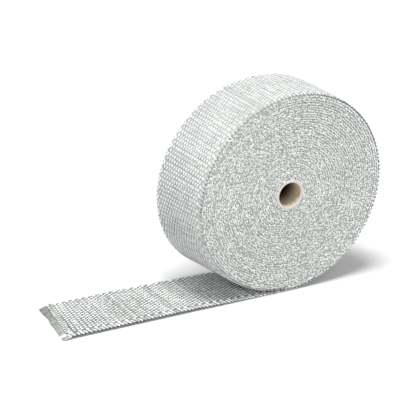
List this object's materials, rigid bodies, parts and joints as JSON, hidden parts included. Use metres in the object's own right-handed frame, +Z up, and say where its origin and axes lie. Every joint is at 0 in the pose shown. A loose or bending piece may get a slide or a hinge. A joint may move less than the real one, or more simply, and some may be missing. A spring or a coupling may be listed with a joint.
{
  "type": "exhaust heat wrap roll",
  "caption": "Roll of woven glass-fibre heat wrap tape on a small core, standing on its rim with its sealed free end laid flat.",
  "frame": {"origin": "on the floor under the roll's axis, halfway across the tape's width", "axes": "+X away from the loose end, along the tape as it lies; +Y along the roll's axis, the near end face looks towards -Y; +Z up"},
  "size_m": [0.2478, 0.05, 0.143],
  "materials": {
    "woven_glass_fibre": "woven off-white glass fibre, matt with a faint silky sheen",
    "core_cardboard": "plain wound cardboard, pale on its cut end and brown in the bore",
    "clear_film": "creased glossy translucent film over grey fibre"
  },
  "bodies": {
    "root": {"wrap_tape": "woven_glass_fibre", "core_tube": "core_cardboard", "end_seal": "clear_film"}
  },
  "joints": []
}
